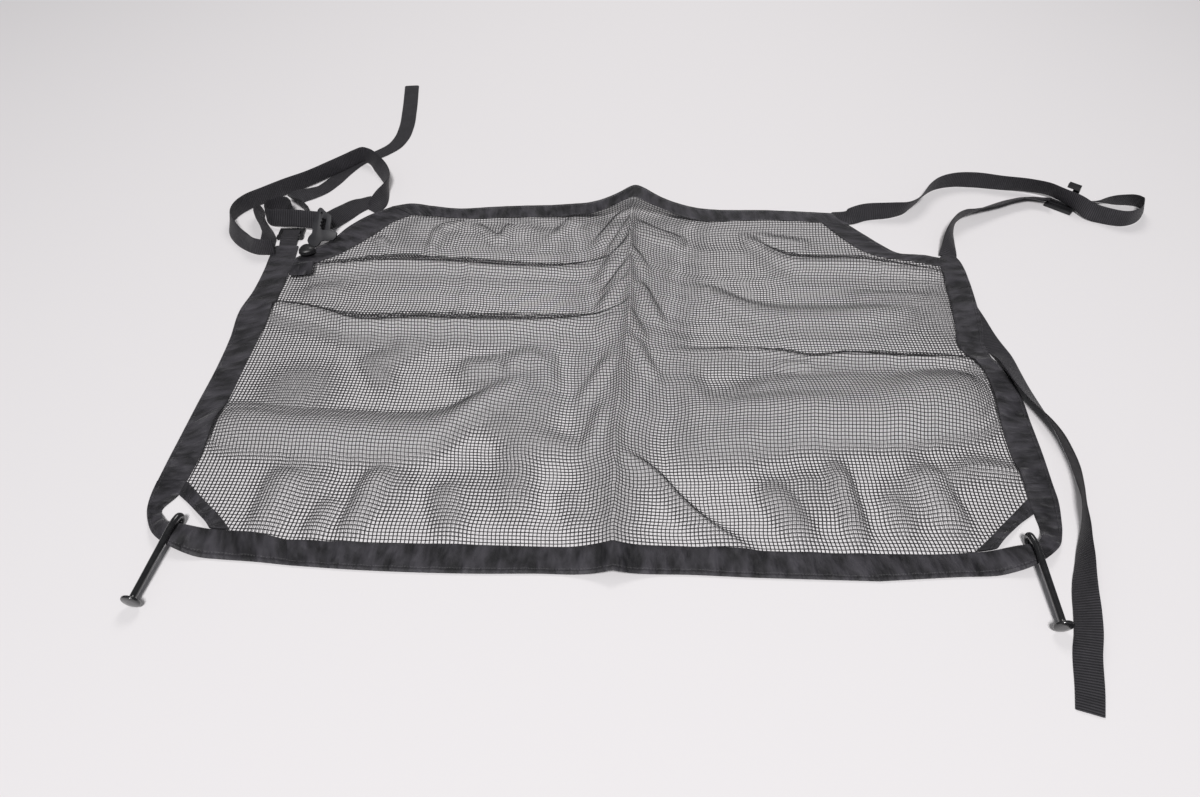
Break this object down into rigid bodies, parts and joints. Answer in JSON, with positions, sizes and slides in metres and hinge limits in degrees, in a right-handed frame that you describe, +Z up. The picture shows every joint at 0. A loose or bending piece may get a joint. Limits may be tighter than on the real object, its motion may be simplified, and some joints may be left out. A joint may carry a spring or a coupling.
{
  "type": "cargo net",
  "caption": "Rectangular mesh cargo net with a wide border band, hooks in the two near corner loops and webbing straps with adjusters at the two far corners.",
  "frame": {"origin": "On the flat underside of the near border band, where the net rests on the surface", "axes": "+X along the near border band to the right, +Y towards the far border band, +Z up from the surface"},
  "size_m": [1.3534, 1.1981, 0.045],
  "materials": {
    "mesh": "open square mesh, matt black",
    "tape": "woven folded tape with a slight sheen",
    "webbing": "ribbed flat webbing",
    "label": "plain woven tab",
    "plastic": "fine grained black",
    "coated_steel": "gloss black"
  },
  "bodies": {
    "root": {"net_panel": "mesh", "band_front": "tape", "band_loop_left": "tape", "band_loop_right": "tape", "band_curve_right": "tape", "band_left": "tape", "band_right": "tape", "band_back": "tape", "band_corner_left": "tape", "band_corner_right": "tape", "binding_left": "tape", "binding_right": "tape", "label_tab": "label", "strap_back_right": "webbing", "strap_side_right": "webbing", "strap_tail_right": "webbing", "strap_tail_left": "webbing", "strap_loop_left": "webbing", "strap_arc_left": "webbing", "strap_coil_left": "webbing", "strap_buckle_left": "webbing", "strap_lock_left": "webbing", "slider_right": "plastic", "lock_left": "plastic", "buckle_left": "plastic", "stopper_left": "plastic", "hook_left": "coated_steel", "hook_right": "coated_steel"}
  },
  "joints": []
}
